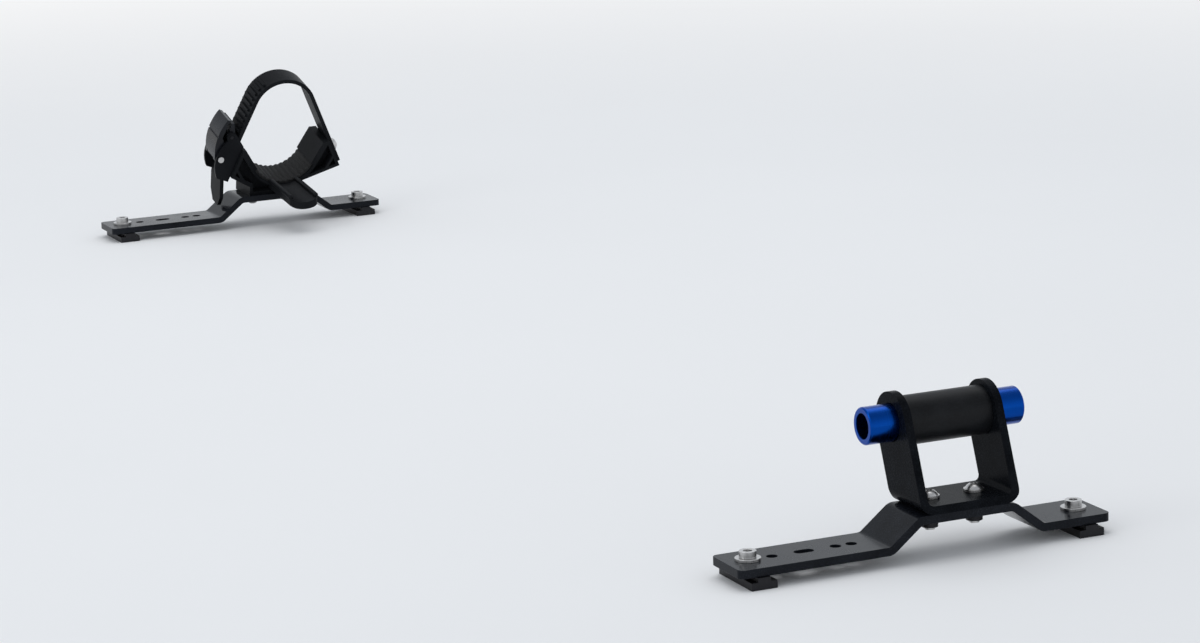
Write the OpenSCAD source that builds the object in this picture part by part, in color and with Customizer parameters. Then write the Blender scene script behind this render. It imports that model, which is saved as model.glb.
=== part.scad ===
// Roof mounted bike carrier: a fork mount and a rear wheel mount for a platform rack.
// X runs across the vehicle, Y rearward along the bike, Z up.
// The origin lies on the rack's surface, midway between the front foot bolts.

/* [Layout] */
// Distance from the front bar to the rear bar
bar_spacing = 1195; // [900:5:1400]
// Distance between the two foot bolts of a bar
bolt_spacing = 210; // [190:1:240]

/* [Base bar] */
// Width of the bar
bar_w = 38; // [32:1:50]
// Thickness of the bar
bar_t = 5; // [4:0.5:6]
// Length of the bar beyond each foot bolt
foot_end = 14; // [11:1:20]
// Radius of the bar's corners
bar_corner_r = 4; // [1:0.5:8]
// Height of the space under the raised middle
riser_h = 15; // [14:0.5:20]
// Width of the raised middle
riser_w = 60; // [56:1:70]
// Centre of the raised middle
riser_x = 25; // [15:0.5:30]
// Length of each ramp across the vehicle
ramp_run = 19; // [12:1:24]
// Inner radius of the bar's bends
bar_bend_r = 4; // [2:0.5:8]
// Distance between the two bolt holes in the raised middle
riser_pitch = 29; // [26:1:32]

/* [Spare holes] */
// Radius of the round spare holes in the left foot
spare_hole_r = 3.25; // [2:0.25:4]
// Place of the outer round hole
spare_outer_x = -90; // [-92:0.5:-86]
// Place of the middle round hole
spare_mid_x = -50; // [-52:0.5:-48]
// Place of the inner round hole
spare_inner_x = -40; // [-41:0.5:-39]
// Centre of the slot
spare_slot_x = -70; // [-74:0.5:-64]
// Length of the slot
spare_slot_l = 12; // [8:0.5:16]

/* [Fork bracket] */
// Centre of the fork bracket
fork_x = 27; // [22:0.5:32]
// Width of the bracket outside its ears
fork_w = 64; // [60:0.5:70]
// Thickness of the bracket's plate
bracket_t = 5; // [4:0.5:6]
// Inner radius of the bracket's bends
bracket_bend_r = 3.5; // [2:0.5:5]
// Height of the axle above the rack
axle_h = 67.5; // [60:0.5:90]
// Rearward lean of the ears, in degrees
ear_lean = 21; // [0:1:25]

/* [Axle] */
// Radius of the through-axle that the sleeve takes
axle_r = 7.5; // [5:0.5:8]
// Outer radius of the sleeve
sleeve_r = 11; // [10:0.25:12]
// Length of the sleeve, the width of the hub that it stands for
sleeve_l = 100; // [94:1:148]
// Outer radius of the housing
housing_r = 14.4; // [13.5:0.1:16]
// Section of the rubber rings on the sleeve
ring_d = 1.8; // [1.4:0.1:2]
// Distance between the rubber rings
ring_pitch = 36; // [20:1:44]

/* [Fasteners] */
// Radius of the foot bolts
foot_bolt_r = 3; // [2.5:0.25:3.5]
// Radius of the foot bolts' heads
foot_head_r = 5; // [4.25:0.25:6]
// Radius of the foot bolts' washers
foot_washer_r = 7.5; // [6.5:0.25:9]
// Radius of the bracket and cradle bolts
mid_bolt_r = 3; // [2.5:0.25:3]
// Radius of the bracket and cradle bolts' heads
mid_head_r = 5.25; // [4.5:0.25:5.5]
// Radius of the bracket and cradle bolts' washers
mid_washer_r = 6; // [5.5:0.25:6.25]
// Thickness of the washers
washer_t = 1.6; // [1:0.1:2]

/* [Channel nuts] */
// Length of a channel nut along the rack's channel
nut_l = 42; // [38:1:60]
// Width of its neck
nut_neck_w = 8; // [8:0.25:9]
// Height of its neck
nut_neck_h = 2.5; // [2:0.25:4]
// Width of its base
nut_base_w = 16; // [14:0.5:20]
// Height of its base
nut_base_h = 4.5; // [4:0.25:8]

/* [Wheel cradle] */
// Centre of the wheel
wheel_x = 33.5; // [30:0.5:38]
// Radius of the trough for the tyre
trough_r = 28; // [26:0.5:30]
// Height of the trough's lowest line above the rack, at the middle of the cradle
trough_h = 34.5; // [33:0.5:37]
// Forward lean of the cradle, its strap and its buckle, in degrees
cradle_tilt = 15; // [8:1:18]
// Lean of the trough's flat sides, in degrees
side_lean = 30; // [28:1:34]
// Thickness of the rubber pad
pad_t = 2.5; // [1.5:0.25:3]
// Width of the cradle along the bike
cradle_w = 36; // [34:1:44]
// Height of the arms' tops in the leaning frame
arm_top = 66; // [62:0.5:67]
// Skin left round the cradle's moulded pockets
pocket_wall = 2.6; // [2:0.1:3]
// Depth of the moulded pockets in each side
pocket_depth = 9; // [4:0.5:9.5]
// Distance from the trough's skin to the rib along each arm
rib_pitch = 9; // [6:0.5:12]
// Width of the forward tongue
tongue_w = 24; // [20:1:30]
// Length of the forward tongue beyond the cradle
tongue_l = 54; // [40:1:60]
// Thickness of the forward tongue
tongue_t = 6; // [5:0.5:8]
// Radius of the tongue's hollow
tongue_bow_r = 20; // [18:1:40]
// Downward slope of the tongue, in degrees
tongue_slope = 8; // [0:1:12]

/* [Strap] */
// Width of the strap
strap_w = 24; // [22:0.5:26]
// Thickness of the strap's band
strap_t = 3.2; // [2.5:0.1:3.5]
// Height of the teeth
tooth_h = 1.8; // [1.4:0.1:2]
// Width of the toothed track
tooth_w = 18; // [14:0.5:20]
// Distance from tooth to tooth
tooth_pitch = 5; // [4.5:0.1:6]
// Height of the strap's top in the leaning frame
strap_top = 126.5; // [120:0.5:132]
// Outer radius of the strap's arch
arch_r = 30.5; // [29:0.5:34]
// Lean of the strap's legs, in degrees
leg_lean = 23; // [21:0.5:26]
// Height of the tail's tip in the leaning frame
tail_h = 13; // [12:0.5:20]
// Bend radius of the tail
tail_r = 15; // [12:1:20]

/* [Buckle] */
// Height of the lever's pivot line on the strap in the leaning frame
buckle_h = 56.5; // [55:0.5:59]
// Reach of the buckle below the pivot line
buckle_low = 12; // [10:0.5:14]
// Reach of the buckle above the pivot line
buckle_high = 26; // [25:0.5:28]
// Thickness of the buckle's floor
floor_t = 3; // [2.5:0.1:3.5]
// Thickness of the buckle's cheeks
cheek_t = 2.5; // [2:0.1:4]
// Height of the lever's pivot over the teeth
pivot_out = 6.5; // [6.3:0.1:7.5]
// Radius of the lever's pivot pin
lever_pin_r = 2; // [1.8:0.1:2.4]
// Radius of the lever's curved back
lever_back_r = 44; // [42:0.5:48]
// Thickness of the lever's curved back
lever_t = 2.8; // [2:0.1:3.2]
// Height of the lever's tip over the pivot line
lever_tip = 34; // [32:0.5:37]
// Radius of the drive pawl's pin
pawl_pin_r = 1.25; // [1:0.05:1.4]
// Radius of the release lever's pin
release_pin_r = 1.5; // [1.2:0.05:1.6]
// Wire of the two springs
wire_d = 0.7; // [0.5:0.05:0.75]
// Distance from turn to turn of the springs
coil_pitch = 1.2; // [1.2:0.05:1.25]

/* [Clearances] */
// Radial clearance of a turning pin or sleeve
run_gap = 0.05; // [0.02:0.01:0.1]
// Clearance between parts that pass each other
side_gap = 0.3; // [0.2:0.05:0.4]
// Radial clearance of a bolt in its hole
bolt_gap = 0.25; // [0.1:0.05:0.4]
// Radial clearance of a bolt in its thread
thread_gap = 0.1; // [0.05:0.01:0.1]

/* [Hidden] */
$fn = 96;
small = 0.3;
lap = 0.02;
bend_step = 4;
bar_l = bolt_spacing + 2 * foot_end;
bar_top = riser_h + bar_t;
bar_mid = bar_t / 2;
riser_bolts = [riser_x - riser_pitch / 2, riser_x + riser_pitch / 2];
foot_bolts = [-bolt_spacing / 2, bolt_spacing / 2];
foot_hole_r = foot_bolt_r + bolt_gap;
mid_hole_r = mid_bolt_r + bolt_gap;
foot_head_h = 4;
mid_head_h = 3.3;
lock_nut_h = 7;
lock_nut_r = 5.8;
thread_end = 1.5;

floor_top = bar_top + bracket_t;
lean_run = (axle_h - floor_top) * tan(ear_lean);
axle_at = [lean_run, axle_h];
ear_r = bar_w / 2 * cos(ear_lean);
ear_hole_r = sleeve_r + side_gap + run_gap;
housing_bore_r = sleeve_r + run_gap;
sleeve_bore_r = axle_r + run_gap;
ring_gap = 0.01;
ring_out_r = housing_bore_r - ring_gap;
groove_r = ring_out_r - ring_d - ring_gap;
groove_w = ring_d + 0.4;
sleeve_chamfer = 0.8;

trough_z = trough_h + trough_r;
trough_c = [wheel_x, trough_z];
trough_in = trough_r + pad_t;
far = 5 * trough_in;
pad_gap = 0.1;
pad_w = cradle_w - 2;
pad_sweep = 88 - side_lean;
recess_sweep = pad_sweep + 0.4;
heel_drop = 2.5;
seat_gap = 0.01;
rib_t = 2.2;
insert_r = mid_bolt_r + 2;
base_edge = insert_r + 2;
base_l = riser_bolts[0] - base_edge;
base_r = riser_bolts[1] + base_edge;
insert_h = trough_h - pad_t - bar_top - insert_r;
tongue_root = pocket_depth + pocket_wall;
tongue_drop = pad_t + small;
tongue_corner_r = 5;
tongue_rail_r = 2;

strap_in = tooth_h + strap_t;
arch_z = strap_top - arch_r;
leg_dir = [sin(leg_lean), cos(leg_lean)];
leg_in = [cos(leg_lean), -sin(leg_lean)];
arch_start = [wheel_x, arch_z] - arch_r * leg_in;
buckle_at = arch_start - leg_dir * (arch_start.y - buckle_h) / leg_dir.y;
leg_top = (arch_start.y - buckle_h) / leg_dir.y;
tail_drop = 4.5;
tail_corner = -buckle_low - tail_drop;
anchor_end = 11;
floor_in = strap_in + side_gap;
floor_out = floor_in + floor_t;
cheek_gap = 0.4;
cheek_in = strap_w / 2 + cheek_gap;
cheek_out = cheek_in + cheek_t;
screw_z = [-6, 6];
screw_r = 2;
screw_head_r = 3.6;
screw_l = 8;

pivot = [-pivot_out, 0];
pivot_boss_r = lever_pin_r + 2;
cheek_back_r = 29;
cheek_mid = 3;
cheek_low = 17;
hub_r = lever_pin_r + 2.4;
lever_w = 2 * (cheek_in - side_gap);
lever_arm_t = 4.1;
lever_arm_in = lever_w / 2 - lever_arm_t;
lever_bulge = 16;
lever_mid = 20;
back_centre = [lever_back_r - lever_bulge, lever_mid];
arm_short = 6;
arm_depth = 11.6;
grip_line = 17;
grip_line_r = 0.8;
pawl_at = [-pivot_out - 2, 9.5];
pawl_boss_r = 3;
pawl_lug_r = 4;
pawl_lo = -(lever_arm_in - side_gap);
pawl_hi = 3;
pawl_tip_gap = 0.6;
pawl_nose = [2.2, 4.4];
release_at = [-5, buckle_high - 5];
hook_drop = 12;
hold_z = release_at.y - hook_drop;
release_boss_r = 3;
release_lug_r = 4.2;
release_neck = 2.9;
hook_half = 0.5;
hook_t = 1.6;
tab_reach = 3.4;
tab_top = release_at.y + 12;
tab_slant = 1.2;
tab_root = 2.4;
tab_foot = 3.6;
release_half = cheek_in - side_gap;
release_hi = 5;
pawl_depth = 1.2;
pin_head_r = lever_pin_r + 0.6;
pin_head_h = 1.6;
coil_r = 2.45;
coil_leg = 3;
coil_rings = 8;
coil_sides = 6;

rear_y = bar_spacing;

// Helpers: extruding an outline across the bike or along it

module along_y(w) {
    translate([0, w / 2, 0]) rotate([90, 0, 0]) linear_extrude(height = w) children();
}

module from_y(lo, hi) {
    translate([0, hi, 0]) rotate([90, 0, 0]) linear_extrude(height = hi - lo) children();
}

module along_x(l) {
    translate([-l / 2, 0, 0]) rotate([90, 0, 90]) linear_extrude(height = l) children();
}

module rounded_plate(l, w, r) {
    square([l - 2 * r, w], center = true);
    square([l, w - 2 * r], center = true);
    for (sx = [-1, 1], sy = [-1, 1])
        translate([sx * (l / 2 - r), sy * (w / 2 - r)]) circle(r = r);
}

module slot_2d(l, r) {
    square([l - 2 * r, 2 * r], center = true);
    for (s = [-1, 1])
        translate([s * (l / 2 - r), 0]) circle(r = r);
}

// A strip of thickness t along straight runs, with a round bend of its own radius at each corner

function unit(v) = v / norm(v);
function left_of(d) = [-d.y, d.x];
function turned(v, a) = [v.x * cos(a) - v.y * sin(a), v.x * sin(a) + v.y * cos(a)];
function run_dir(pts, i) = unit(pts[i + 1] - pts[i]);
function turn_side(a, b) = sign(a.x * b.y - a.y * b.x);

function bend_points(pts, r, i, off) =
    let (d0 = run_dir(pts, i - 1), d1 = run_dir(pts, i), s = turn_side(d0, d1), turn = acos(d0 * d1),
         inward = s * left_of(d0), centre = pts[i] - d0 * r * tan(turn / 2) + inward * r,
         steps = ceil(turn / bend_step))
    [for (k = [0 : steps]) centre - turned(inward, s * turn * k / steps) * (r - s * off)];

function strip_side(pts, radii, off) =
    let (last = len(pts) - 1)
    concat([pts[0] + left_of(run_dir(pts, 0)) * off],
           [for (i = [1 : last - 1]) each bend_points(pts, radii[i - 1], i, off)],
           [pts[last] + left_of(run_dir(pts, last - 1)) * off]);

module bent_strip(pts, radii, t) {
    there = strip_side(pts, radii, t / 2);
    back = strip_side(pts, radii, -t / 2);
    polygon(concat(there, [for (k = [len(back) - 1 : -1 : 0]) back[k]]));
}

// Fasteners, drawn with the underside of the head at the origin and the shank downward

module button_bolt(r, l, head_r, head_h) {
    dome_r = (head_r * head_r + head_h * head_h) / (2 * head_h);
    difference() {
        intersection() {
            cylinder(r = head_r, h = head_h);
            translate([0, 0, head_h - dome_r]) sphere(r = dome_r);
        }
        translate([0, 0, head_h * 0.4]) cylinder(r = r * 0.72, h = head_h, $fn = 6);
    }
    translate([0, 0, -l]) cylinder(r = r, h = l + head_h * 0.2);
}

module cap_bolt(r, l, head_r, head_h) {
    difference() {
        cylinder(r = head_r, h = head_h);
        translate([0, 0, head_h * 0.45]) cylinder(r = r * 0.96, h = head_h, $fn = 6);
    }
    translate([0, 0, -l]) cylinder(r = r, h = l + head_h * 0.2);
}

module washer(hole_r, out_r) {
    difference() {
        cylinder(r = out_r, h = washer_t);
        translate([0, 0, -small]) cylinder(r = hole_r, h = washer_t + 2 * small);
    }
}

module lock_nut(r) {
    difference() {
        union() {
            cylinder(r = lock_nut_r, h = lock_nut_h * 0.7, $fn = 6);
            cylinder(r = lock_nut_r * 0.84, h = lock_nut_h);
        }
        translate([0, 0, -small]) cylinder(r = r + thread_gap, h = lock_nut_h + 2 * small);
    }
}

// Base bar

module bar_outline() {
    up = riser_h + bar_mid;
    top_l = riser_x - riser_w / 2;
    top_r = riser_x + riser_w / 2;
    mid_r = bar_bend_r + bar_mid;
    bent_strip(
        [[-bar_l / 2, bar_mid], [top_l - ramp_run, bar_mid], [top_l, up],
         [top_r, up], [top_r + ramp_run, bar_mid], [bar_l / 2, bar_mid]],
        [mid_r, mid_r, mid_r, mid_r], bar_t);
}

module base_bar() {
    color([0.08, 0.085, 0.095])
    difference() {
        intersection() {
            along_y(bar_w) bar_outline();
            translate([0, 0, -small]) linear_extrude(height = bar_top + 2 * small)
                rounded_plate(bar_l, bar_w, bar_corner_r);
        }
        translate([0, 0, -small]) {
            for (x = foot_bolts)
                translate([x, 0, 0]) cylinder(r = foot_hole_r, h = bar_t + 2 * small);
            for (x = [spare_outer_x, spare_mid_x, spare_inner_x])
                translate([x, 0, 0]) cylinder(r = spare_hole_r, h = bar_t + 2 * small);
            translate([spare_slot_x, 0, 0]) linear_extrude(height = bar_t + 2 * small)
                slot_2d(spare_slot_l, spare_hole_r);
        }
        for (x = riser_bolts)
            translate([x, 0, riser_h - small]) cylinder(r = mid_hole_r, h = bar_t + 2 * small);
    }
}

module foot_bolt_set() {
    color([0.75, 0.76, 0.77])
    for (x = foot_bolts)
        translate([x, 0, bar_t + washer_t])
            cap_bolt(foot_bolt_r, bar_t + washer_t + nut_neck_h + nut_base_h - thread_end / 2,
                     foot_head_r, foot_head_h);
}

module foot_washer_set() {
    color([0.72, 0.73, 0.74])
    for (x = foot_bolts)
        translate([x, 0, bar_t]) washer(foot_hole_r, foot_washer_r);
}

module channel_nut_set() {
    color([0.35, 0.36, 0.38])
    for (x = foot_bolts)
        translate([x, 0, 0]) difference() {
            union() {
                along_y(nut_l) translate([-nut_neck_w / 2, -nut_neck_h - small])
                    square([nut_neck_w, nut_neck_h + small]);
                along_y(nut_l) translate([-nut_base_w / 2, -nut_neck_h - nut_base_h])
                    square([nut_base_w, nut_base_h]);
            }
            translate([0, 0, -nut_neck_h - nut_base_h - small])
                cylinder(r = foot_bolt_r + thread_gap, h = nut_neck_h + nut_base_h + 2 * small);
        }
}

// Fork bracket: the U seen from the front, cut to the ear seen from the side

module bracket_front() {
    half = fork_w / 2 - bracket_t / 2;
    mid_z = bar_top + bracket_t / 2;
    top_z = axle_h + ear_r + bracket_t;
    bent_strip(
        [[fork_x - half, top_z], [fork_x - half, mid_z], [fork_x + half, mid_z], [fork_x + half, top_z]],
        [bracket_bend_r + bracket_t / 2, bracket_bend_r + bracket_t / 2], bracket_t);
}

module ear_side() {
    across = ear_r * [cos(ear_lean), -sin(ear_lean)];
    polygon([[-bar_w / 2, bar_top - small], [bar_w / 2, bar_top - small], [bar_w / 2, floor_top],
             axle_at + across, axle_at - across, [-bar_w / 2, floor_top]]);
    translate(axle_at) circle(r = ear_r);
}

module at_axle() {
    translate([fork_x, axle_at.x, axle_at.y]) rotate([0, 90, 0]) children();
}

module fork_bracket() {
    color([0.07, 0.075, 0.085])
    difference() {
        intersection() {
            from_y(-bar_w, axle_at.x + 2 * ear_r) bracket_front();
            translate([fork_x, 0, 0]) along_x(fork_w + 2) ear_side();
        }
        at_axle() cylinder(r = ear_hole_r, h = fork_w + 2, center = true);
        for (x = riser_bolts)
            translate([x, 0, bar_top - small]) cylinder(r = mid_hole_r, h = bracket_t + 2 * small);
    }
}

module axle_housing() {
    housing_l = fork_w - 2 * bracket_t;
    color([0.04, 0.04, 0.045])
    at_axle() difference() {
        cylinder(r = housing_r, h = housing_l, center = true);
        cylinder(r = housing_bore_r, h = housing_l + 2, center = true);
    }
}

module axle_sleeve() {
    half = sleeve_l / 2;
    groove_lo = ring_pitch / 2 - groove_w / 2;
    groove_hi = ring_pitch / 2 + groove_w / 2;
    color([0.03, 0.16, 0.62])
    at_axle() rotate_extrude()
        polygon([
            [sleeve_bore_r, -half], [sleeve_r - sleeve_chamfer, -half], [sleeve_r, -half + sleeve_chamfer],
            [sleeve_r, -groove_hi], [groove_r, -groove_hi], [groove_r, -groove_lo], [sleeve_r, -groove_lo],
            [sleeve_r, groove_lo], [groove_r, groove_lo], [groove_r, groove_hi], [sleeve_r, groove_hi],
            [sleeve_r, half - sleeve_chamfer], [sleeve_r - sleeve_chamfer, half], [sleeve_bore_r, half]
        ]);
}

module sleeve_o_rings() {
    color([0.02, 0.02, 0.02])
    at_axle() for (s = [-1, 1])
        translate([0, 0, s * ring_pitch / 2]) rotate_extrude()
            translate([ring_out_r - ring_d / 2, 0]) circle(r = ring_d / 2, $fn = 48);
}

module fork_bracket_bolts() {
    color([0.75, 0.76, 0.77])
    for (x = riser_bolts)
        translate([x, 0, floor_top + washer_t])
            button_bolt(mid_bolt_r, washer_t + bracket_t + bar_t + lock_nut_h + thread_end,
                        mid_head_r, mid_head_h);
}

module fork_bracket_washers() {
    color([0.72, 0.73, 0.74])
    for (x = riser_bolts)
        translate([x, 0, floor_top]) washer(mid_hole_r, mid_washer_r);
}

module fork_bracket_nuts() {
    color([0.72, 0.73, 0.74])
    for (x = riser_bolts)
        translate([x, 0, riser_h]) rotate([180, 0, 0]) lock_nut(mid_bolt_r);
}

// Cradle frame of reference: leaning forward about the trough's lowest line

module at_cradle() {
    translate([0, rear_y, trough_h]) rotate([cradle_tilt, 0, 0]) translate([0, 0, -trough_h]) children();
}

// Height in the leaning frame of a point z above the rack, y back from the cradle's middle
function leaned(y, z) = trough_h + (z - trough_h - y * sin(cradle_tilt)) / cos(cradle_tilt);

// Strap and buckle frame of reference: x towards the wheel, z up along the strap's left leg

module at_buckle() {
    at_cradle() translate([buckle_at.x, 0, buckle_at.y]) rotate([0, leg_lean, 0]) children();
}

module at_anchor() {
    translate([2 * wheel_x, 0, 0]) mirror([1, 0, 0]) at_buckle() children();
}

function leg_point(x, z) = buckle_at + x * leg_in + z * leg_dir;
function mirrored(p) = [2 * wheel_x - p.x, p.y];

// Wheel cradle

module outside_left(x) {
    polygon([leg_point(x, -far), leg_point(x, far), leg_point(x - far, far), leg_point(x - far, -far)]);
}

module outside_right(x) {
    translate([2 * wheel_x, 0]) mirror([1, 0]) outside_left(x);
}

// The tyre's space: a round bottom with a flat leaning side on each hand
module tyre_space_2d(grow) {
    r = trough_r + grow;
    side = (r - lap) * [cos(side_lean), -sin(side_lean)];
    up = far * [sin(side_lean), cos(side_lean)];
    translate(trough_c) {
        circle(r = r);
        polygon([[-side.x, side.y], [-side.x - up.x, side.y + up.y], side + up, side]);
    }
}

module sector_2d(r, sweep) {
    edge = far * [sin(sweep), -cos(sweep)];
    translate(trough_c) intersection() {
        circle(r = r);
        polygon([[0, 0], [-edge.x, edge.y], [-far, -far], [far, -far], edge]);
    }
}

// The cradle's outline down to floor_z without the tyre's space, drawn in by a wall
module body_2d(wall, floor_z) {
    low = -buckle_low + wall;
    left = floor_out + seat_gap + wall;
    right = strap_in + seat_gap + wall;
    heel_z = trough_h - heel_drop + wall;
    ends = [base_l + wall, base_r - wall];
    difference() {
        union() {
            polygon([leg_point(left, low), leg_point(left, far), trough_c,
                     [ends[0], floor_z], [ends[0], heel_z]]);
            polygon([mirrored(leg_point(right, low)), mirrored(leg_point(right, far)), trough_c,
                     [ends[1], floor_z], [ends[1], heel_z]]);
            polygon([trough_c, [ends[0], floor_z], [ends[1], floor_z]]);
        }
        outside_left(left);
        outside_right(right);
        translate([wheel_x - far, arm_top - wall]) square([2 * far, 2 * far]);
    }
}

module cradle_2d() {
    difference() {
        body_2d(0, leaned(cradle_w / 2, bar_top) - small);
        tyre_space_2d(0);
        sector_2d(trough_in, recess_sweep);
    }
}

module pocket_2d(floor_z) {
    difference() {
        body_2d(pocket_wall, floor_z);
        tyre_space_2d(pad_t + pocket_wall);
        for (a = [180 + side_lean, -side_lean])
            translate(trough_c) rotate(a) translate([trough_in + pocket_wall + rib_pitch, -far])
                square([rib_t, 2 * far]);
    }
}

module tongue() {
    long = tongue_root + tongue_l;
    bow_z = trough_h - tongue_drop + tongue_bow_r;
    rail_x = tongue_w / 2 - tongue_rail_r / 2;
    rail_z = bow_z - sqrt(pow(tongue_bow_r, 2) - pow(tongue_w / 2, 2));
    rail_end = tongue_corner_r - tongue_l;
    translate([wheel_x, 0, 0]) {
        intersection() {
            from_y(-far, tongue_root) translate([0, bow_z]) difference() {
                circle(r = tongue_bow_r + tongue_t);
                circle(r = tongue_bow_r);
            }
            translate([0, -tongue_l, bow_z - tongue_bow_r - tongue_t - small])
                linear_extrude(height = tongue_t + tongue_w / 2) {
                    translate([0, long / 2]) rounded_plate(tongue_w, long, tongue_corner_r);
                    translate([-tongue_w / 2, long / 2]) square([tongue_w, long / 2]);
                }
        }
        for (s = [-1, 1])
            translate([s * rail_x, 0, rail_z]) {
                from_y(rail_end, small) circle(r = tongue_rail_r);
                translate([0, rail_end, 0]) sphere(r = tongue_rail_r);
            }
    }
}

module cradle_shell() {
    y_deep = cradle_w / 2 - pocket_depth;
    skin = bar_top + pocket_wall;
    difference() {
        at_cradle() difference() {
            along_y(cradle_w) cradle_2d();
            translate([0, -cradle_w / 2, 0]) along_y(2 * pocket_depth) pocket_2d(leaned(-cradle_w / 2, skin));
            translate([0, cradle_w / 2, 0]) along_y(2 * pocket_depth) pocket_2d(leaned(y_deep, skin));
        }
        translate([wheel_x - far, rear_y - far, bar_top - far]) cube([2 * far, 2 * far, far]);
    }
}

module wheel_cradle() {
    color([0.05, 0.05, 0.055])
    difference() {
        union() {
            cradle_shell();
            at_cradle() translate([0, -cradle_w / 2, trough_h]) rotate([tongue_slope - cradle_tilt, 0, 0])
                translate([0, 0, -trough_h]) tongue();
        }
        at_cradle() along_y(cradle_w) {
            tyre_space_2d(0);
            sector_2d(trough_in, recess_sweep);
        }
        translate([wheel_x - far, rear_y - bar_w / 2 - side_gap, bar_top - far])
            cube([2 * far, bar_w + 2 * side_gap, far]);
        for (x = riser_bolts)
            translate([x, rear_y, bar_top - small]) cylinder(r = insert_r + seat_gap, h = insert_h + small);
        at_buckle() for (z = screw_z)
            translate([floor_out - small, 0, z]) rotate([0, 90, 0])
                cylinder(r = screw_r + thread_gap, h = screw_l + 1 + small);
        at_anchor() translate([strap_in - small, 0, 0]) rotate([0, 90, 0])
            cylinder(r = insert_r + seat_gap, h = insert_h + 2 + small);
    }
}

module cradle_pad() {
    color([0.03, 0.03, 0.03])
    at_cradle() along_y(pad_w) difference() {
        sector_2d(trough_in - pad_gap, pad_sweep);
        translate(trough_c) circle(r = trough_r);
    }
}

module threaded_insert(h) {
    difference() {
        cylinder(r = insert_r, h = h);
        translate([0, 0, -small]) cylinder(r = mid_bolt_r + thread_gap, h = h + 2 * small);
    }
}

module cradle_inserts() {
    color([0.75, 0.6, 0.3])
    for (x = riser_bolts)
        translate([x, rear_y, bar_top]) threaded_insert(insert_h);
}

module cradle_bolts() {
    color([0.75, 0.76, 0.77])
    for (x = riser_bolts)
        translate([x, rear_y, riser_h - washer_t]) rotate([180, 0, 0])
            button_bolt(mid_bolt_r, washer_t + bar_t + insert_h - thread_end / 2, mid_head_r, mid_head_h);
}

module cradle_washers() {
    color([0.72, 0.73, 0.74])
    for (x = riser_bolts)
        translate([x, rear_y, riser_h - washer_t]) washer(mid_hole_r, mid_washer_r);
}

// Ladder strap

module strap_band_2d() {
    mid = tooth_h + strap_t / 2;
    tail = leg_point(mid, tail_corner);
    leg = leg_point(mid, 0);
    apex = [wheel_x, leg.y + (wheel_x - leg.x) / tan(leg_lean)];
    anchor = mirrored(leg_point(mid, -anchor_end));
    bent_strip([[tail.x, tail_h], tail, apex, anchor], [tail_r, arch_r - mid], strap_t);
}

module tooth_2d() {
    foot = tooth_pitch * 0.28;
    tip = tooth_pitch * 0.14;
    polygon([[tooth_h + small, -foot], [tooth_h + small, foot], [0, tip], [0, -tip]]);
}

module strap_teeth() {
    first = ceil((-buckle_low - hold_z) / tooth_pitch);
    last = floor((leg_top - hold_z) / tooth_pitch);
    at_buckle() for (k = [first : last - 1])
        translate([0, 0, hold_z + (k + 0.5) * tooth_pitch]) along_y(tooth_w) tooth_2d();
    arch_step = tooth_pitch / (arch_r - tooth_h) * 180 / PI;
    arch_gap = (hold_z + (last + 0.5) * tooth_pitch - leg_top) / tooth_pitch;
    at_cradle() translate([wheel_x, 0, arch_z]) for (k = [0 : 3])
        rotate([0, leg_lean + (k + arch_gap) * arch_step, 0])
            translate([-arch_r, 0, 0]) along_y(tooth_w) tooth_2d();
}

module strap_plan() {
    tip_w = strap_w * 0.5;
    taper = 9;
    polygon([[-tip_w / 2, tail_h - small], [tip_w / 2, tail_h - small], [strap_w / 2, tail_h + taper],
             [strap_w / 2, strap_top + 1], [-strap_w / 2, strap_top + 1], [-strap_w / 2, tail_h + taper]]);
}

module ladder_strap() {
    color([0.06, 0.06, 0.065])
    difference() {
        union() {
            at_cradle() intersection() {
                along_y(strap_w) strap_band_2d();
                translate([wheel_x, 0, 0]) along_x(far) strap_plan();
            }
            strap_teeth();
        }
        at_anchor() rotate([0, 90, 0]) cylinder(r = mid_hole_r, h = 2 * strap_in);
    }
}

module strap_bolt() {
    color([0.75, 0.76, 0.77])
    at_anchor() translate([tooth_h - washer_t, 0, 0]) rotate([0, -90, 0])
        button_bolt(mid_bolt_r, washer_t + strap_t + insert_h + 1, mid_head_r, mid_head_h);
}

module strap_washer() {
    color([0.72, 0.73, 0.74])
    at_anchor() translate([tooth_h - washer_t, 0, 0]) rotate([0, 90, 0]) washer(mid_hole_r, mid_washer_r);
}

module strap_insert() {
    color([0.75, 0.6, 0.3])
    at_anchor() translate([strap_in, 0, 0]) rotate([0, 90, 0]) threaded_insert(insert_h + 2);
}

// Ratchet buckle

module cheek_2d() {
    back = pivot_out + pivot_boss_r;
    difference() {
        union() {
            intersection() {
                translate([-back, -cheek_low]) square([back + floor_out, cheek_low + buckle_high]);
                translate([cheek_back_r - back, cheek_mid]) circle(r = cheek_back_r);
            }
            translate(release_at) circle(r = release_lug_r);
        }
        translate(pivot) circle(r = lever_pin_r + thread_gap);
        translate(release_at) circle(r = release_pin_r + thread_gap);
    }
}

module buckle_frame() {
    color([0.035, 0.035, 0.04])
    difference() {
        at_buckle() difference() {
            along_y(2 * cheek_out) cheek_2d();
            translate([-far, -cheek_in, -far]) cube([far + floor_in, 2 * cheek_in, 2 * far]);
            translate([-far, -cheek_in, -far]) cube([2 * far, 2 * cheek_in, far - buckle_low]);
            for (z = screw_z)
                translate([floor_in, 0, z]) rotate([0, 90, 0]) {
                    translate([0, 0, -small])
                        cylinder(r = screw_r + thread_gap, h = floor_t + 2 * small);
                    translate([0, 0, -small])
                        cylinder(r1 = screw_head_r + small, r2 = screw_r, h = screw_head_r - screw_r + small);
                }
        }
        at_cradle() along_y(4 * cheek_out) tyre_space_2d(0);
    }
}

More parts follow.
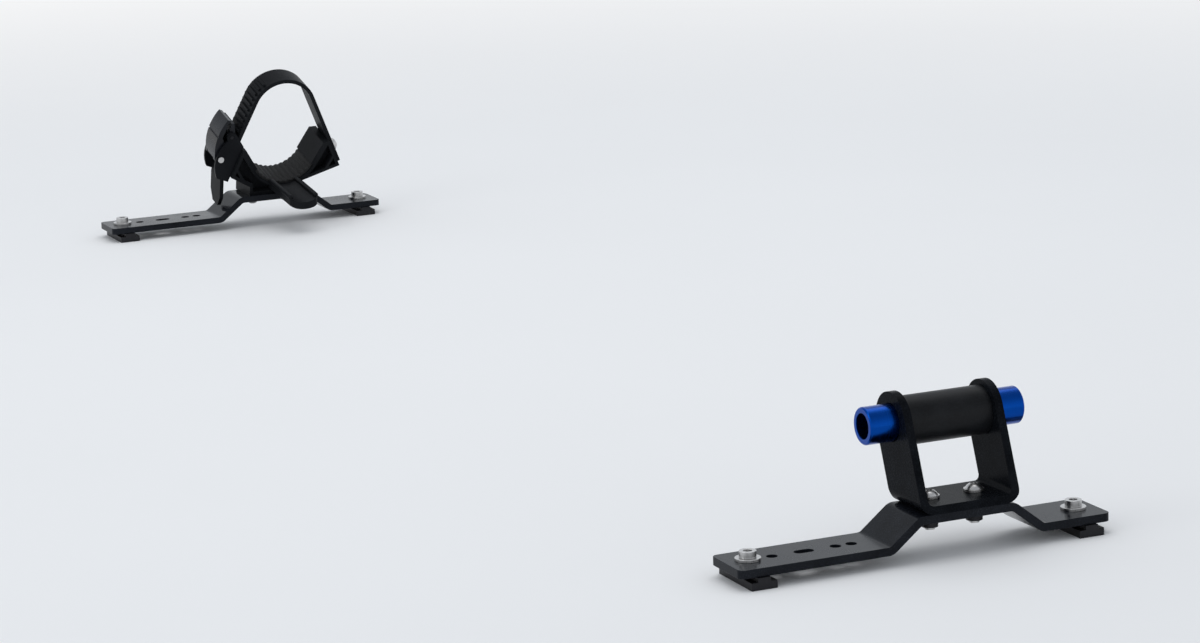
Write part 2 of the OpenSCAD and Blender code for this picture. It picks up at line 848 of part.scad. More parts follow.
module buckle_screws() {
    color([0.75, 0.76, 0.77])
    at_buckle() for (z = screw_z)
        translate([floor_in, 0, z]) rotate([0, 90, 0]) {
            cylinder(r1 = screw_head_r - thread_gap, r2 = screw_r - thread_gap, h = screw_head_r - screw_r);
            cylinder(r = screw_r - thread_gap, h = floor_t + screw_l);
        }
}

module lever_pin() {
    color([0.78, 0.78, 0.79])
    at_buckle() translate([pivot.x, 0, pivot.y]) rotate([90, 0, 0]) {
        cylinder(r = lever_pin_r, h = 2 * cheek_out, center = true);
        translate([0, 0, cheek_out]) cylinder(r = pin_head_r, h = pin_head_h);
        translate([0, 0, -cheek_out - pin_head_h]) cylinder(r = pin_head_r, h = pin_head_h);
    }
}

module lever_back_2d() {
    difference() {
        translate(back_centre) circle(r = lever_back_r);
        translate(back_centre) circle(r = lever_back_r - lever_t);
        translate([0, -far]) square([far, 2 * far]);
        translate([-far, lever_tip]) square([2 * far, far]);
        translate([-far, -far - hub_r / 2]) square([2 * far, far]);
        translate([back_centre.x - sqrt(pow(lever_back_r, 2) - pow(grip_line - lever_mid, 2)), grip_line])
            circle(r = grip_line_r);
    }
}

module lever_arm_2d() {
    inner_r = lever_back_r - lever_t / 2;
    arm_tip = lever_tip - arm_short;
    difference() {
        union() {
            translate(pivot) circle(r = hub_r);
            translate(pawl_at) circle(r = pawl_lug_r);
            intersection() {
                translate(back_centre) circle(r = inner_r);
                polygon([pivot + [pawl_lug_r, 0], pawl_at + [pawl_boss_r, pawl_boss_r / 2],
                         [-arm_depth, pawl_at.y + 2 * pawl_lug_r], [-arm_depth, arm_tip],
                         [-far, arm_tip], [-far, -hub_r / 2], pivot - [0, hub_r / 2]]);
            }
        }
        translate(pawl_at) circle(r = pawl_pin_r + thread_gap);
    }
}

module ratchet_lever() {
    color([0.04, 0.04, 0.045])
    at_buckle() difference() {
        union() {
            along_y(lever_w) lever_back_2d();
            for (s = [-1, 1])
                translate([0, s * (lever_w / 2 - lever_arm_t / 2), 0]) along_y(lever_arm_t) lever_arm_2d();
        }
        translate([pivot.x, 0, pivot.y]) rotate([90, 0, 0])
            cylinder(r = lever_pin_r + run_gap, h = lever_w + 1, center = true);
    }
}

module drive_pawl() {
    color([0.6, 0.6, 0.62])
    at_buckle() from_y(pawl_lo, pawl_hi) difference() {
        union() {
            translate(pawl_at) circle(r = pawl_boss_r);
            polygon([pawl_at - [pawl_boss_r / 3, pawl_boss_r * 0.93], [-pawl_tip_gap, pawl_nose[0]],
                     [-pawl_tip_gap, pawl_nose[1]], pawl_at + pawl_boss_r * [0.3, 0.9]]);
        }
        translate(pawl_at) circle(r = pawl_pin_r + run_gap);
    }
}

module pawl_pin() {
    color([0.78, 0.78, 0.79])
    at_buckle() translate([pawl_at.x, 0, pawl_at.y]) rotate([90, 0, 0])
        cylinder(r = pawl_pin_r, h = lever_w, center = true);
}

module release_hook_2d() {
    translate(release_at) circle(r = release_boss_r);
    polygon([release_at - [release_neck, 0], [-hook_t, hold_z - hook_half],
             [pawl_depth, hold_z - hook_half], [pawl_depth, hold_z + hook_half],
             [-side_gap, hold_z + 2 * hook_half], release_at + [release_neck, 0]]);
    translate(release_at - [tab_root, 0]) square([2 * tab_root, tab_foot + small]);
}

module release_tab_2d() {
    tab_at = [release_at.x - tab_reach, tab_top];
    polygon([release_at + [-tab_root, tab_foot], release_at + [tab_root, tab_foot],
             tab_at + [tab_root - tab_slant, 0], tab_at - [tab_slant, tab_slant]]);
}

module release_lever() {
    color([0.05, 0.05, 0.055])
    at_buckle() difference() {
        union() {
            from_y(-release_half, release_hi) release_hook_2d();
            along_y(2 * release_half) release_tab_2d();
        }
        translate([release_at.x, 0, release_at.y]) rotate([90, 0, 0])
            cylinder(r = release_pin_r + run_gap, h = 2 * cheek_out, center = true);
    }
}

module release_pin() {
    color([0.78, 0.78, 0.79])
    at_buckle() translate([release_at.x, 0, release_at.y]) rotate([90, 0, 0])
        cylinder(r = release_pin_r, h = 2 * cheek_out, center = true);
}

// Springs: one wire wound about the pin, with a straight leg at each end

function coil_angle(k) = 360 * k / coil_rings;
function coil_out(k) = [cos(coil_angle(k)), 0, sin(coil_angle(k))];
function coil_along(k) = [-sin(coil_angle(k)), 0, cos(coil_angle(k))];
function coil_point(k) = coil_r * coil_out(k) + [0, wire_d / 2 + coil_pitch * k / coil_rings, 0];
function coil_route(turns) = concat(
    [coil_point(0) - coil_leg * coil_along(0)],
    [for (k = [0 : turns * coil_rings]) coil_point(k)],
    [coil_point(turns * coil_rings) + coil_leg * coil_along(turns * coil_rings)]);
function coil_sides_out(turns) = concat(
    [coil_out(0)], [for (k = [0 : turns * coil_rings]) coil_out(k)], [coil_out(turns * coil_rings)]);
function coil_gap(turns) = let (p = coil_route(turns))
    min([for (i = [0 : len(p) - 1], j = [0 : len(p) - 1])
        if (j - i > coil_rings / 2) norm(p[i] - p[j])]) - wire_d;

module coil_spring(turns) {
    route = coil_route(turns);
    outs = coil_sides_out(turns);
    rings = len(route);
    points = [for (i = [0 : rings - 1], j = [0 : coil_sides - 1])
        let (a = 360 * j / coil_sides) route[i] + wire_d / 2 * (cos(a) * outs[i] + sin(a) * [0, 1, 0])];
    sides = [for (i = [0 : rings - 2], j = [0 : coil_sides - 1], half = [0, 1])
        let (a = i * coil_sides + j, b = i * coil_sides + (j + 1) % coil_sides)
        half == 0 ? [a, a + coil_sides, b] : [b, a + coil_sides, b + coil_sides]];
    caps = [for (j = [1 : coil_sides - 2], end = [0, 1])
        let (base = end * (rings - 1) * coil_sides)
        end == 0 ? [base, base + j, base + j + 1] : [base, base + j + 1, base + j]];
    echo(least_gap_of_spring = coil_gap(turns));
    polyhedron(points = points, faces = concat(sides, caps));
}

module pawl_spring() {
    color([0.7, 0.7, 0.72])
    at_buckle() translate([pawl_at.x, pawl_hi + side_gap, pawl_at.y]) coil_spring(2);
}

module release_spring() {
    color([0.7, 0.7, 0.72])
    at_buckle() translate([release_at.x, release_hi + side_gap, release_at.y]) coil_spring(4);
}

// The named pieces, one line each

base_bar();  // front_base_bar
fork_bracket();
axle_housing();
axle_sleeve();
sleeve_o_rings();
fork_bracket_bolts();
fork_bracket_washers();
fork_bracket_nuts();
foot_bolt_set();  // front_foot_bolts
foot_washer_set();  // front_foot_washers
channel_nut_set();  // front_channel_nuts
translate([0, rear_y, 0]) base_bar();  // rear_base_bar
wheel_cradle();
cradle_pad();
cradle_inserts();
cradle_bolts();
cradle_washers();
translate([0, rear_y, 0]) foot_bolt_set();  // rear_foot_bolts
translate([0, rear_y, 0]) foot_washer_set();  // rear_foot_washers
translate([0, rear_y, 0]) channel_nut_set();  // rear_channel_nuts
ladder_strap();
strap_bolt();
strap_washer();
strap_insert();
buckle_frame();
buckle_screws();
lever_pin();
ratchet_lever();
drive_pawl();
pawl_pin();
pawl_spring();
release_lever();
release_pin();
release_spring();
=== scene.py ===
import math
import bpy
from mathutils import Matrix, Vector


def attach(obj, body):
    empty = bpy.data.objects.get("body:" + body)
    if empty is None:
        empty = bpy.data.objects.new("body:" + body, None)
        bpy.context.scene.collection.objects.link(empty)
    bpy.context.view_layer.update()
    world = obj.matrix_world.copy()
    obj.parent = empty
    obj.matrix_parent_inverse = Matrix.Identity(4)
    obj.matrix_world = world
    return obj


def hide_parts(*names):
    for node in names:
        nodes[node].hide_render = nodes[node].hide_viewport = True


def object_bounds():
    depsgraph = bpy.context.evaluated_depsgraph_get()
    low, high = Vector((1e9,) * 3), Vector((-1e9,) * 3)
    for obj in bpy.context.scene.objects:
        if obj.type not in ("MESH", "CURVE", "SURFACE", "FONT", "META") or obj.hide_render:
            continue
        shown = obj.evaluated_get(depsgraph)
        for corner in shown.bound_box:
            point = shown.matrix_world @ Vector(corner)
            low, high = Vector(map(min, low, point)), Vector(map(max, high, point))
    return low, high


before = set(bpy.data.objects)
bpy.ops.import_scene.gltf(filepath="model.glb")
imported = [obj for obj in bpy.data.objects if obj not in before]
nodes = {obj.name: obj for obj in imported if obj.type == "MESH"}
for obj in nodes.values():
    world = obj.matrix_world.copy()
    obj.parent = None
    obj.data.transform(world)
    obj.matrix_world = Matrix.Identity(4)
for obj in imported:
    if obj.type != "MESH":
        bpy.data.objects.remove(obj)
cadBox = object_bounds()
mmPerMetre = 1000
scene = bpy.context.scene
scene.view_settings.view_transform = "Standard"
print("frame loaded:", len(nodes), "nodes")


class Link:  # one output socket, so that shader maths reads as plain expressions
    def __init__(self, shader, socket):
        self.shader, self.socket = shader, socket

    def maths(self, operation, first, second=0.0):
        return self.shader.node("ShaderNodeMath", {"operation": operation}, {0: first, 1: second})

    def __add__(self, other):
        return self.maths("ADD", self, other)

    def __radd__(self, other):
        return self.maths("ADD", other, self)

    def __sub__(self, other):
        return self.maths("SUBTRACT", self, other)

    def __rsub__(self, other):
        return self.maths("SUBTRACT", other, self)

    def __mul__(self, other):
        return self.maths("MULTIPLY", self, other)

    def __rmul__(self, other):
        return self.maths("MULTIPLY", other, self)

    def root(self):
        return self.maths("SQRT", self)

    def larger(self, other):
        return self.maths("MAXIMUM", self, other)

    def out(self, name):  # another output of the same node
        return Link(self.shader, self.socket.node.outputs[name])


class Shader:  # the node tree of one material or of the world
    def __init__(self, owner):
        owner.use_nodes = True
        self.tree = owner.node_tree
        self.tree.nodes.clear()

    def node(self, kind, settings=None, values=None):
        made = self.tree.nodes.new(kind)
        for key, value in (settings or {}).items():
            if key == "stops":
                self.fillRamp(made.color_ramp, value)
            else:
                setattr(made, key, value)
        for key, value in (values or {}).items():
            if isinstance(value, Link):
                self.tree.links.new(value.socket, made.inputs[key])
            else:
                made.inputs[key].default_value = value
        return Link(self, made.outputs[0]) if made.outputs else None

    def fillRamp(self, ramp, stops):
        ramp.elements[0].position, ramp.elements[1].position = stops[0][0], stops[-1][0]
        for place, _ in stops[1:-1]:
            ramp.elements.new(place)
        for element, (_, tone) in zip(ramp.elements, stops):
            element.color = tone

    def place(self):  # metres in the shared frame, carried along with the piece
        return self.node("ShaderNodeTexCoord").out("Object")

    def axes(self, vector):
        split = self.node("ShaderNodeSeparateXYZ", {}, {"Vector": vector})
        return split, split.out("Y"), split.out("Z")

    def noise(self, perMetre, detail, stretch=None):
        where = self.place()
        if stretch:
            where = self.node("ShaderNodeVectorMath", {"operation": "MULTIPLY"}, {0: where, 1: stretch})
        return self.node("ShaderNodeTexNoise", {}, {"Vector": where, "Scale": perMetre, "Detail": detail})

    def spread(self, value, low=0.35, high=0.65):  # noise gathers round its middle
        return self.node("ShaderNodeMapRange", {}, {"Value": value, "From Min": low, "From Max": high})

    def ramp(self, value, stops):
        return self.node("ShaderNodeValToRGB", {"stops": stops}, {"Fac": value})

    def blendColours(self, factor, first, second):  # a Mix node's colours are sockets 6 and 7, out at 2
        mix = self.node("ShaderNodeMix", {"data_type": "RGBA"}, {0: factor, 6: first, 7: second})
        return mix.out(2)

    def bump(self, height, depth, strength):
        return self.node("ShaderNodeBump", {}, {"Height": height, "Distance": depth, "Strength": strength})


def colour(red, green, blue):
    return (red, green, blue, 1)


finishes = {}


def addFinish(name, fixed, varying):
    material = bpy.data.materials.new(name)
    shader = Shader(material)
    values = dict(fixed)
    values.update(varying(shader))
    surface = shader.node("ShaderNodeBsdfPrincipled", {}, values)
    shader.node("ShaderNodeOutputMaterial", {}, {"Surface": surface})
    finishes[name] = material


# Coated steel: a slight orange peel, soft clouds and fine specks
coatLooks = {
    "powderCoat": {"dark": colour(0.0042, 0.0051, 0.0072), "light": colour(0.0150, 0.0175, 0.0230),
                   "peelPerMetre": 620, "cloudPerMetre": 42, "rough": 0.10, "specular": 0.09},
    "bracketCoat": {"dark": colour(0.0030, 0.0036, 0.0048), "light": colour(0.0105, 0.0122, 0.0155),
                    "peelPerMetre": 620, "cloudPerMetre": 60, "rough": 0.18, "specular": 0.02},
    "housingCoat": {"dark": colour(0.0036, 0.0041, 0.0050), "light": colour(0.0125, 0.0137, 0.0160),
                    "peelPerMetre": 900, "cloudPerMetre": 60, "rough": 0.34, "specular": 0.14}}
coatGrain = {"specksPerPeel": 2.4, "speckLow": 0.52, "speckHigh": 0.72, "cloudShare": 0.45,
             "speckShare": 0.55, "cloudRough": 0.07, "peelRough": 0.05, "speckRough": 0.10,
             "peelDepth": 0.00003, "peelStrength": 0.5}


def coatedSteel(look):
    def varying(s):
        grain = coatGrain
        peel = s.noise(look["peelPerMetre"], detail=1.0)
        cloud = s.spread(s.noise(look["cloudPerMetre"], detail=4.0))
        speck = s.spread(s.noise(look["peelPerMetre"] * grain["specksPerPeel"], detail=0.0),
                         grain["speckLow"], grain["speckHigh"])
        tone = cloud * grain["cloudShare"] + speck * grain["speckShare"]
        rough = (look["rough"] + cloud * grain["cloudRough"] + peel * grain["peelRough"]
                 + speck * grain["speckRough"])
        return {"Base Color": s.blendColours(tone, look["dark"], look["light"]), "Roughness": rough,
                "Normal": s.bump(peel, grain["peelDepth"], grain["peelStrength"])}
    return varying


for name, look in coatLooks.items():
    addFinish(name, {"Specular IOR Level": look["specular"]}, coatedSteel(look))

# Blue sleeve: anodised over fine turning lines
anodLook = {"deep": colour(0.0016, 0.038, 0.245), "bright": colour(0.0032, 0.074, 0.41),
            "linesPerMetre": 2600, "cloudPerMetre": 70, "lineShare": 0.6, "cloudShare": 0.4,
            "rough": 0.18, "lineRough": 0.12, "lineDepth": 0.00002, "lineStrength": 0.6}


def anodised(s):
    look = anodLook
    across, _, _ = s.axes(s.place())
    lines = s.node("ShaderNodeTexNoise", {"noise_dimensions": "1D"},
                   {"W": across * look["linesPerMetre"], "Scale": 1.0, "Detail": 3.0})
    cloud = s.noise(look["cloudPerMetre"], detail=3.0)
    tone = lines * look["lineShare"] + cloud * look["cloudShare"]
    return {"Base Color": s.blendColours(tone, look["deep"], look["bright"]),
            "Roughness": look["rough"] + lines * look["lineRough"],
            "Normal": s.bump(lines, look["lineDepth"], look["lineStrength"])}


addFinish("blueAnodised", {"Metallic": 1.0}, anodised)

# Bare and blackened metal with fine scratches
metalLooks = {
    "stainless": {"dark": colour(0.40, 0.395, 0.39), "light": colour(0.66, 0.655, 0.65),
                  "rough": 0.22, "scratchesPerMetre": 2200},
    "pinSteel": {"dark": colour(0.40, 0.395, 0.39), "light": colour(0.66, 0.655, 0.65),
                 "rough": 0.20, "scratchesPerMetre": 3000},
    "blackPin": {"dark": colour(0.018, 0.018, 0.020), "light": colour(0.034, 0.034, 0.037),
                 "rough": 0.34, "scratchesPerMetre": 3000},
    "springSteel": {"dark": colour(0.34, 0.34, 0.36), "light": colour(0.58, 0.58, 0.60),
                    "rough": 0.24, "scratchesPerMetre": 3600},
    "nutSteel": {"dark": colour(0.020, 0.020, 0.022), "light": colour(0.040, 0.040, 0.043),
                 "rough": 0.36, "scratchesPerMetre": 900},
    "insertBrass": {"dark": colour(0.46, 0.30, 0.10), "light": colour(0.68, 0.48, 0.18),
                    "rough": 0.28, "scratchesPerMetre": 1800}}
metalGrain = {"stretch": (1.0, 1.0, 0.12), "cloudPerMetre": 180, "scratchShare": 0.5, "cloudShare": 0.5,
              "scratchRough": 0.16, "scratchDepth": 0.00002, "scratchStrength": 0.4}


def scratchedMetal(look):
    def varying(s):
        grain = metalGrain
        scratch = s.noise(look["scratchesPerMetre"], detail=3.0, stretch=grain["stretch"])
        cloud = s.noise(grain["cloudPerMetre"], detail=2.0)
        tone = scratch * grain["scratchShare"] + cloud * grain["cloudShare"]
        return {"Base Color": s.blendColours(tone, look["dark"], look["light"]),
                "Roughness": look["rough"] + scratch * grain["scratchRough"],
                "Normal": s.bump(scratch, grain["scratchDepth"], grain["scratchStrength"])}
    return varying


for name, look in metalLooks.items():
    addFinish(name, {"Metallic": 1.0}, scratchedMetal(look))

# Moulded plastic and rubber: a fine mould grain and faint flow marks
mouldedLooks = {
    "cradlePlastic": {"dark": colour(0.0050, 0.0055, 0.0065), "light": colour(0.0135, 0.0146, 0.0165),
                      "grainPerMetre": 1500, "rough": 0.34, "depth": 0.00004, "specular": 0.035},
    "strapPlastic": {"dark": colour(0.0046, 0.0051, 0.0062), "light": colour(0.0120, 0.0130, 0.0150),
                     "grainPerMetre": 1900, "rough": 0.36, "depth": 0.00003, "specular": 0.045},
    "bucklePlastic": {"dark": colour(0.0040, 0.0045, 0.0056), "light": colour(0.0110, 0.0120, 0.0142),
                      "grainPerMetre": 2400, "rough": 0.26, "depth": 0.00002, "specular": 0.05},
    "leverPlastic": {"dark": colour(0.0060, 0.0068, 0.0088), "light": colour(0.0150, 0.0166, 0.0205),
                     "grainPerMetre": 2400, "rough": 0.17, "depth": 0.00001, "specular": 0.17},
    "padRubber": {"dark": colour(0.007, 0.007, 0.0072), "light": colour(0.015, 0.015, 0.0152),
                  "grainPerMetre": 1300, "rough": 0.66, "depth": 0.00007, "specular": 0.3},
    "ringRubber": {"dark": colour(0.009, 0.009, 0.009), "light": colour(0.014, 0.014, 0.014),
                   "grainPerMetre": 2600, "rough": 0.50, "depth": 0.00002, "specular": 0.4}}
mouldGrain = {"flowPerMetre": 55, "flowStretch": (1.0, 1.0, 0.35), "flowShare": 0.5, "grainShare": 0.5,
              "grainRough": 0.10, "flowRough": 0.06, "grainStrength": 0.5}


def moulded(look):
    def varying(s):
        mould = mouldGrain
        grain = s.spread(s.noise(look["grainPerMetre"], detail=2.0))
        flow = s.spread(s.noise(mould["flowPerMetre"], detail=3.0, stretch=mould["flowStretch"]))
        tone = flow * mould["flowShare"] + grain * mould["grainShare"]
        return {"Base Color": s.blendColours(tone, look["dark"], look["light"]),
                "Roughness": look["rough"] + grain * mould["grainRough"] + flow * mould["flowRough"],
                "Normal": s.bump(grain, look["depth"], mould["grainStrength"])}
    return varying


for name, look in mouldedLooks.items():
    addFinish(name, {"Specular IOR Level": look["specular"]}, moulded(look))
print("finishes made:", len(finishes))

# The CAD nodes keep their shape and get a finish and rounded edges, with the rounding's width in millimetres
nodeFinish = {
    "front_base_bar": ("powderCoat", 0.5), "rear_base_bar": ("powderCoat", 0.5),
    "fork_bracket": ("bracketCoat", 0.5), "axle_housing": ("housingCoat", 0.4),
    "axle_sleeve": ("blueAnodised", 0.2), "sleeve_o_rings": ("ringRubber", 0),
    "fork_bracket_bolts": ("stainless", 0.15), "fork_bracket_washers": ("stainless", 0.15),
    "fork_bracket_nuts": ("nutSteel", 0.2), "front_foot_bolts": ("stainless", 0.2),
    "front_foot_washers": ("stainless", 0.15), "front_channel_nuts": ("nutSteel", 0.3),
    "wheel_cradle": ("cradlePlastic", 0.4), "cradle_pad": ("padRubber", 0),
    "cradle_inserts": ("insertBrass", 0), "cradle_bolts": ("stainless", 0.15),
    "cradle_washers": ("stainless", 0.15),
    "rear_foot_bolts": ("stainless", 0.2), "rear_foot_washers": ("stainless", 0.15),
    "rear_channel_nuts": ("nutSteel", 0.3), "ladder_strap": ("strapPlastic", 0.25),
    "strap_bolt": ("stainless", 0.15), "strap_washer": ("stainless", 0.15),
    "strap_insert": ("insertBrass", 0), "buckle_frame": ("bucklePlastic", 0.35),
    "buckle_screws": ("stainless", 0.15), "lever_pin": ("pinSteel", 0.15),
    "ratchet_lever": ("leverPlastic", 0.4), "drive_pawl": ("blackPin", 0.15), "pawl_pin": ("blackPin", 0.1),
    "pawl_spring": ("springSteel", 0), "release_lever": ("leverPlastic", 0.3),
    "release_pin": ("blackPin", 0.1), "release_spring": ("springSteel", 0)}
edgeSettings = {"smoothAngle": math.radians(30), "flatAngle": math.radians(0.6), "rounds": 2,
                "weld": 0.000002}


def smoothGroup():
    group = bpy.data.node_groups.new("smoothByAngle", "GeometryNodeTree")
    group.interface.new_socket("Mesh", in_out="INPUT", socket_type="NodeSocketGeometry")
    group.interface.new_socket("Mesh", in_out="OUTPUT", socket_type="NodeSocketGeometry")
    source = group.nodes.new("NodeGroupInput")
    merge = group.nodes.new("GeometryNodeMergeByDistance")
    merge.inputs["Distance"].default_value = edgeSettings["weld"]
    plain = group.nodes.new("GeometryNodeRemoveAttribute")
    plain.inputs["Name"].default_value = "custom_normal"
    smooth = group.nodes.new("GeometryNodeSetShadeSmooth")
    angle = group.nodes.new("GeometryNodeInputMeshEdgeAngle")
    gentle = group.nodes.new("FunctionNodeCompare")
    gentle.operation = "LESS_THAN"
    gentle.inputs[1].default_value = edgeSettings["smoothAngle"]
    crease = group.nodes.new("GeometryNodeSetShadeSmooth")
    crease.domain = "EDGE"
    result = group.nodes.new("NodeGroupOutput")
    links = group.links
    links.new(source.outputs[0], merge.inputs["Geometry"])
    links.new(merge.outputs["Geometry"], plain.inputs["Geometry"])
    links.new(plain.outputs["Geometry"], smooth.inputs["Geometry"])
    links.new(smooth.outputs["Geometry"], crease.inputs["Geometry"])
    links.new(angle.outputs["Unsigned Angle"], gentle.inputs[0])
    links.new(gentle.outputs[0], crease.inputs["Shade Smooth"])
    links.new(crease.outputs["Geometry"], result.inputs[0])
    return group


smoothNodes = smoothGroup()


def softenEdges(obj, widthMm):
    smooth = obj.modifiers.new("smooth", "NODES")
    smooth.node_group = smoothNodes
    if widthMm:
        flat = obj.modifiers.new("flatFaces", "DECIMATE")
        flat.decimate_type = "DISSOLVE"
        flat.angle_limit = edgeSettings["flatAngle"]
        bevel = obj.modifiers.new("roundEdges", "BEVEL")
        bevel.width = widthMm / mmPerMetre
        bevel.segments = edgeSettings["rounds"]
        bevel.limit_method = "ANGLE"
        bevel.angle_limit = edgeSettings["smoothAngle"]
        normals = obj.modifiers.new("evenNormals", "WEIGHTED_NORMAL")
        normals.keep_sharp = True


for name, (look, width) in nodeFinish.items():
    nodes[name].material_slots[0].material = finishes[look]
    softenEdges(nodes[name], width)
print("nodes finished:", len(nodeFinish))

# New pieces are lofted through closed rings of points, in millimetres until the mesh is made
loftSettings = {"sharpAngle": math.radians(50)}


def loftedPiece(name, rings, body, material, node):
    verts = [Vector(p) / mmPerMetre for ring in rings for p in ring]
    count = len(rings[0])
    faces = [tuple(reversed(range(count)))]
    for i in range(len(rings) - 1):
        for j in range(count):
            k = (j + 1) % count
            faces.append((i * count + j, i * count + k, (i + 1) * count + k, (i + 1) * count + j))
    faces.append(tuple(range((len(rings) - 1) * count, len(rings) * count)))
    mesh = bpy.data.meshes.new(name)
    mesh.from_pydata(verts, [], faces)
    mesh.materials.append(material)
    mesh.update()
    mesh.shade_smooth()
    mesh.set_sharp_from_angle(angle=loftSettings["sharpAngle"])
    piece = bpy.data.objects.new(name, mesh)
    scene.collection.objects.link(piece)
    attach(piece, body)
    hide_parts(node)


# The cradle leans forward about the trough's lowest line, and carries the strap and the buckle along
cradleSpec = {"y": 1195, "z": 34.5, "lean": 15}
cradleFrame = (Matrix.Translation((0, cradleSpec["y"], cradleSpec["z"]))
               @ Matrix.Rotation(math.radians(cradleSpec["lean"]), 4, "X")
               @ Matrix.Translation((0, 0, -cradleSpec["z"])))

# The buckle lies on the strap's left leg, a straight line that runs into the round of the strap's arch
buckleSpec = {"z": 56.5, "lean": 23, "archX": 33.5, "archTop": 126.5, "archRadius": 30.5}
legLean = math.radians(buckleSpec["lean"])
archZ = buckleSpec["archTop"] - buckleSpec["archRadius"]
buckleX = (buckleSpec["archX"] - buckleSpec["archRadius"] / math.cos(legLean)
           - (archZ - buckleSpec["z"]) * math.tan(legLean))
buckleFrame = (cradleFrame @ Matrix.Translation((buckleX, 0, buckleSpec["z"]))
               @ Matrix.Rotation(legLean, 4, "Y"))

# Ribbed liner in the trough of the cradle, swept about the axis of the trough
linerSpec = {"x": 33.5, "z": 62.5, "radius": 28.0, "back": 30.4, "sweep": 58, "width": 34,
             "ribs": 13, "ribDepth": 0.8, "ribSharpness": 0.6, "edge": 0.9, "edgeSteps": 4, "steps": 208}


def linerRing(turn):
    spec = linerSpec
    phase = turn / (2 * spec["sweep"]) * spec["ribs"]
    valley = 0.5 - 0.5 * math.cos(2 * math.pi * (phase - 0.5))
    face = spec["radius"] + spec["ribDepth"] * (1 - valley ** spec["ribSharpness"])
    half, edge = spec["width"] / 2, spec["edge"]
    outline = [(half, spec["back"])]
    for k in range(spec["edgeSteps"] + 1):
        a = math.pi / 2 * k / spec["edgeSteps"]
        outline.append((half - edge + edge * math.cos(a), face + edge - edge * math.sin(a)))
    outline += [(-y, r) for y, r in reversed(outline)]
    a = math.radians(turn)
    return [cradleFrame @ Vector((spec["x"] + r * math.sin(a), y, spec["z"] - r * math.cos(a)))
            for y, r in outline]


linerTurns = [linerSpec["sweep"] * (2 * k / linerSpec["steps"] - 1) for k in range(linerSpec["steps"] + 1)]
loftedPiece("tyreLiner", [linerRing(turn) for turn in linerTurns], "rear_mount",
            finishes["padRubber"], "cradle_pad")

# Torsion springs on the pawl's pin and the release lever's pin, each with a straight leg at both ends
coilSpec = {"radius": 2.45, "wire": 0.7, "pitch": 1.2, "leg": 3, "ringsPerTurn": 28, "sides": 12}
coils = {"pawlCoil": {"at": (-8.5, 3.3, 9.5), "turns": 2, "body": "ratchet_lever", "node": "pawl_spring"},
         "releaseCoil": {"at": (-5, 5.3, 21), "turns": 4, "body": "release_lever", "node": "release_spring"}}


def coilRings(at, turns):
    spec = coilSpec
    wireRadius = spec["wire"] / 2
    count = turns * spec["ringsPerTurn"]
    rings = []
    for i in range(-1, count + 2):
        k = min(max(i, 0), count)  # the first and the last ring are the ends of the legs
        a = 2 * math.pi * k / spec["ringsPerTurn"]
        out = Vector((math.cos(a), 0, math.sin(a)))
        along = Vector((-math.sin(a), 0, math.cos(a)))
        centre = Vector(at) + spec["radius"] * out
        centre.y += wireRadius + spec["pitch"] * k / spec["ringsPerTurn"]
        centre += along * spec["leg"] * (i - k)
        ring = []
        for j in range(spec["sides"]):
            b = 2 * math.pi * j / spec["sides"]
            around = math.cos(b) * out + Vector((0, math.sin(b), 0))
            ring.append(buckleFrame @ (centre + wireRadius * around))
        rings.append(ring)
    return rings


for name, coil in coils.items():
    loftedPiece(name, coilRings(coil["at"], coil["turns"]), coil["body"],
                finishes["springSteel"], coil["node"])
print("new pieces made: tyreLiner,", ", ".join(coils))

# Camera at the photograph's station, aimed at the object
cameraSpec = {"at": (-0.98935, -1.843, 0.58741), "target": (-0.01607, 0.400, 0.05685), "roll": -2.07,
              "lens": 113.9, "sensor": 36, "reach": 200}
camera = bpy.data.objects.new("camera", bpy.data.cameras.new("camera"))
scene.collection.objects.link(camera)
camera.location = cameraSpec["at"]
aim = Vector(cameraSpec["target"]) - Vector(cameraSpec["at"])
camera.rotation_mode = "QUATERNION"
camera.rotation_quaternion = (aim.to_track_quat("-Z", "Y").to_matrix()
                              @ Matrix.Rotation(math.radians(cameraSpec["roll"]), 3, "Z")).to_quaternion()
camera.data.sensor_width = cameraSpec["sensor"]
camera.data.lens = cameraSpec["lens"]
camera.data.clip_end = cameraSpec["reach"]
scene.camera = camera

# Floor: near the object it takes the light and the shadow, far off it fades to the white backdrop
floorSpec = {"radius": 60, "corners": 96, "level": cadBox[0].z, "centre": (0, 0.6),
             "fadeFrom": 0.75, "fadeTo": 3.0, "near": colour(0.84, 0.845, 0.85),
             "mottled": colour(0.86, 0.865, 0.87), "mottlePerMetre": 3.0, "rough": 0.7, "mottleRough": 0.1,
             "specular": 0.2, "far": colour(1, 1, 1), "farStrength": 1.0}


def floorRim(spec):
    turns = [2 * math.pi * k / spec["corners"] for k in range(spec["corners"])]
    return [(spec["centre"][0] + spec["radius"] * math.cos(a),
             spec["centre"][1] + spec["radius"] * math.sin(a), spec["level"]) for a in turns]


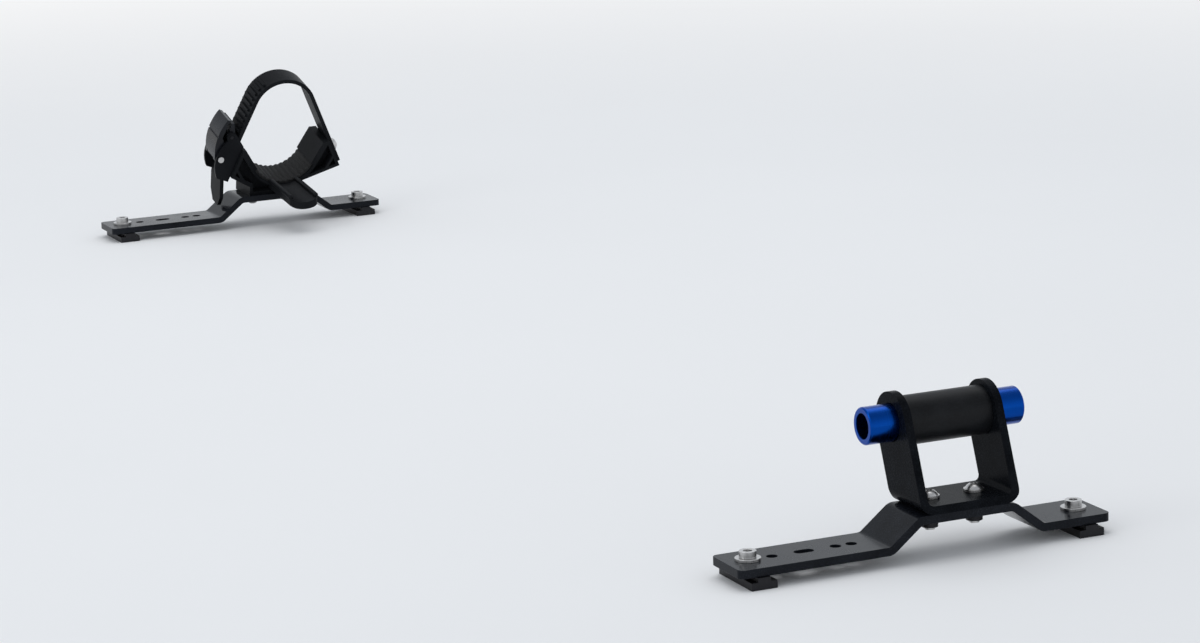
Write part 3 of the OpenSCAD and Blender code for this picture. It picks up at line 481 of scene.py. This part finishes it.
def floorFinish(spec):
    material = bpy.data.materials.new("paleFloor")
    s = Shader(material)
    x, y, _ = s.axes(s.place())
    offX, offY = x - spec["centre"][0], y - spec["centre"][1]
    distance = (offX * offX + offY * offY).root()
    fade = s.node("ShaderNodeMapRange", {"interpolation_type": "SMOOTHSTEP"},
                  {"Value": distance, "From Min": spec["fadeFrom"], "From Max": spec["fadeTo"]})
    mottle = s.noise(spec["mottlePerMetre"], detail=3.0)
    paint = s.node("ShaderNodeBsdfPrincipled", {}, {
        "Base Color": s.blendColours(mottle, spec["near"], spec["mottled"]),
        "Roughness": spec["rough"] + mottle * spec["mottleRough"], "Specular IOR Level": spec["specular"]})
    glow = s.node("ShaderNodeEmission", {}, {"Color": spec["far"], "Strength": spec["farStrength"]})
    rays = s.node("ShaderNodeLightPath")  # the far white is seen and mirrored, and lights nothing
    mirrored = rays.out("Is Glossy Ray").larger(rays.out("Is Transmission Ray"))
    shown = rays.out("Is Camera Ray").larger(mirrored)
    s.node("ShaderNodeOutputMaterial", {}, {
        "Surface": s.node("ShaderNodeMixShader", {}, {0: fade * shown, 1: paint, 2: glow})})
    return material


floorMesh = bpy.data.meshes.new("floor")
floorMesh.from_pydata(floorRim(floorSpec), [], [tuple(range(floorSpec["corners"]))])
floorMesh.materials.append(floorFinish(floorSpec))
floor = bpy.data.objects.new("floor", floorMesh)
scene.collection.objects.link(floor)

# Soft studio light: a white wall all round that turns to a dimmer ceiling, and two soft boxes
roomSpec = {"tones": [(0.09, colour(1, 1, 1)), (0.18, colour(0.90, 0.945, 1.0)),
                      (0.46, colour(0.70, 0.735, 0.78)), (0.80, colour(0.47, 0.49, 0.52))], "strength": 1.0}
world = bpy.data.worlds.new("studio")
scene.world = world
room = Shader(world)
_, _, height = room.axes(room.node("ShaderNodeTexCoord").out("Generated"))
room.node("ShaderNodeOutputWorld", {}, {"Surface": room.node("ShaderNodeBackground", {}, {
    "Color": room.ramp(height, roomSpec["tones"]), "Strength": roomSpec["strength"]})})

lamps = {"overhead": {"at": (0.2, 1.0, 2.6), "aim": (0.0, 0.6, 0.0), "size": (2.4, 2.8), "power": 26},
         "leftBox": {"at": (-2.6, 0.2, 1.6), "aim": (0.0, 0.5, 0.05), "size": (1.4, 1.8), "power": 12}}
for name, spec in lamps.items():
    light = bpy.data.lights.new(name, "AREA")
    light.shape = "RECTANGLE"
    light.size, light.size_y = spec["size"]
    light.energy = spec["power"]
    lamp = bpy.data.objects.new(name, light)
    scene.collection.objects.link(lamp)
    lamp.location = spec["at"]
    lamp.rotation_mode = "QUATERNION"
    lamp.rotation_quaternion = (Vector(spec["aim"]) - Vector(spec["at"])).to_track_quat("-Z", "Y")
print("camera, floor and light set")
